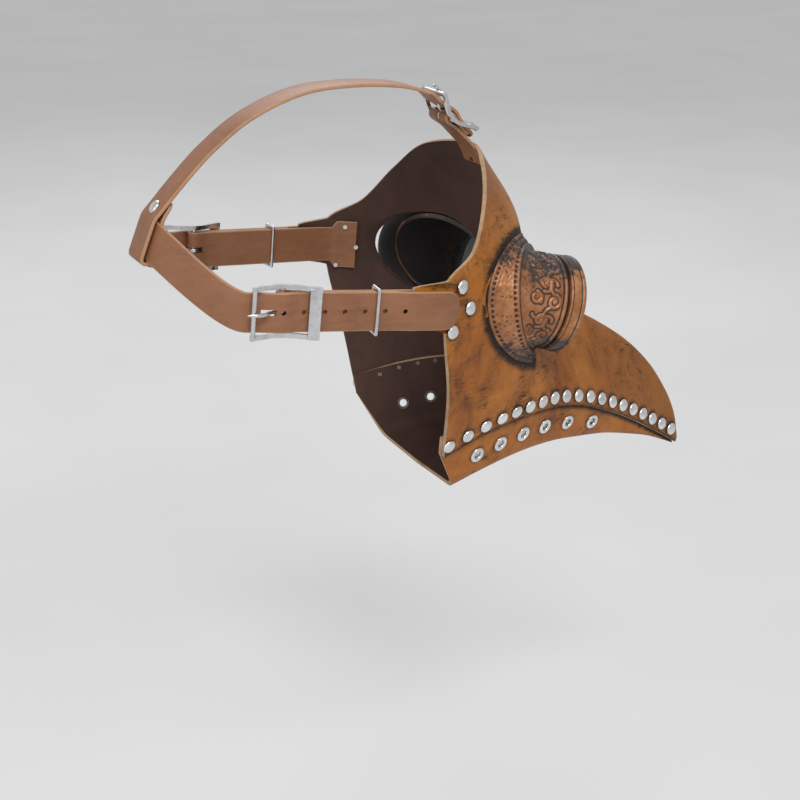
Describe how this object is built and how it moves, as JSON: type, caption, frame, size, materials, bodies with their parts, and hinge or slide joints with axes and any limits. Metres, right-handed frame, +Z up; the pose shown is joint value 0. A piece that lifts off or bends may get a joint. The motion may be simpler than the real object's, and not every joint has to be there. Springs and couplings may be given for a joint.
{
  "type": "plague doctor mask",
  "caption": "Full-face costume mask with a long downcurved beak, riveted jaw panel, round eyepieces on flared skirts and a buckled leather head harness.",
  "frame": {"origin": "middle of the wearer's head, on the mid-plane, level with the side straps", "axes": "+X forward along the beak, +Y to the wearer's left, +Z up"},
  "size_m": [0.3402, 0.1574, 0.2373],
  "materials": {
    "mask_leather": "dark dry-brushed patina",
    "lace_leather": "perforated and stitched",
    "strap_leather": "smooth",
    "copper_paint": "copper with black recesses",
    "chrome": "polished",
    "dark_metal": "dark oxide",
    "lens_glass": "clear, slightly smoked",
    "black_plastic": "matte"
  },
  "bodies": {
    "mask": {"face_shell": "mask_leather", "jaw_panel": "mask_leather", "jaw_rivets_right": "chrome", "jaw_rivets_left": "chrome", "jaw_eyelets_right": "chrome", "jaw_eyelets_left": "chrome", "side_rivets_right": "chrome", "side_rivets_left": "chrome", "eye_skirt_right": "lace_leather", "eye_skirt_left": "lace_leather", "eye_barrel_right": "copper_paint", "eye_barrel_left": "copper_paint", "eye_bezel_right": "copper_paint", "eye_bezel_left": "copper_paint", "lens_right": "lens_glass", "lens_left": "lens_glass", "lens_retainer_right": "black_plastic", "lens_retainer_left": "black_plastic", "back_strap": "strap_leather", "crown_strap": "strap_leather", "loop_rivet": "chrome", "forehead_rivet": "dark_metal", "buckle_strap_right": "strap_leather", "buckle_strap_left": "strap_leather", "buckle_strap_top": "strap_leather"},
    "buckle_right": {"buckle_frame_right": "chrome"},
    "buckle_left": {"buckle_frame_left": "chrome"},
    "buckle_crown": {"buckle_frame_top": "chrome"},
    "tongue_right": {"prong_right": "chrome"},
    "tongue_left": {"prong_left": "chrome"},
    "tongue_crown": {"prong_top": "chrome"},
    "loop_right": {"keeper_right": "chrome"},
    "loop_left": {"keeper_left": "chrome"}
  },
  "joints": [
    {"name": "buckle_right_rock", "type": "hinge", "parent": "mask", "child": "buckle_right", "pos_m": [-0.051, -0.065, 0.0074], "axis": [0.0901, -0.0095, 0.9959], "range_deg": [-3, 3]},
    {"name": "tongue_right_lift", "type": "hinge", "parent": "buckle_right", "child": "tongue_right", "pos_m": [-0.051, -0.065, 0.0074], "axis": [0.0901, -0.0095, 0.9959], "range_deg": [0, 4]},
    {"name": "buckle_left_rock", "type": "hinge", "parent": "mask", "child": "buckle_left", "pos_m": [-0.051, 0.065, 0.0074], "axis": [-0.0901, -0.0095, -0.9959], "range_deg": [-3, 3]},
    {"name": "tongue_left_lift", "type": "hinge", "parent": "buckle_left", "child": "tongue_left", "pos_m": [-0.051, 0.065, 0.0074], "axis": [-0.0901, -0.0095, -0.9959], "range_deg": [0, 4]},
    {"name": "buckle_crown_rock", "type": "hinge", "parent": "mask", "child": "buckle_crown", "pos_m": [0.07, 0, 0.0826], "axis": [0, 1, 0], "range_deg": [-3, 3]},
    {"name": "tongue_crown_lift", "type": "hinge", "parent": "buckle_crown", "child": "tongue_crown", "pos_m": [0.07, 0, 0.0826], "axis": [0, 1, 0], "range_deg": [0, 4]},
    {"name": "keeper_right_slide", "type": "slide", "parent": "mask", "child": "loop_right", "axis": [0.9904, -0.1041, -0.0906], "range_m": [-0.008, 0.008]},
    {"name": "keeper_left_slide", "type": "slide", "parent": "mask", "child": "loop_left", "axis": [0.9904, 0.1041, -0.0906], "range_m": [-0.008, 0.008]}
  ]
}
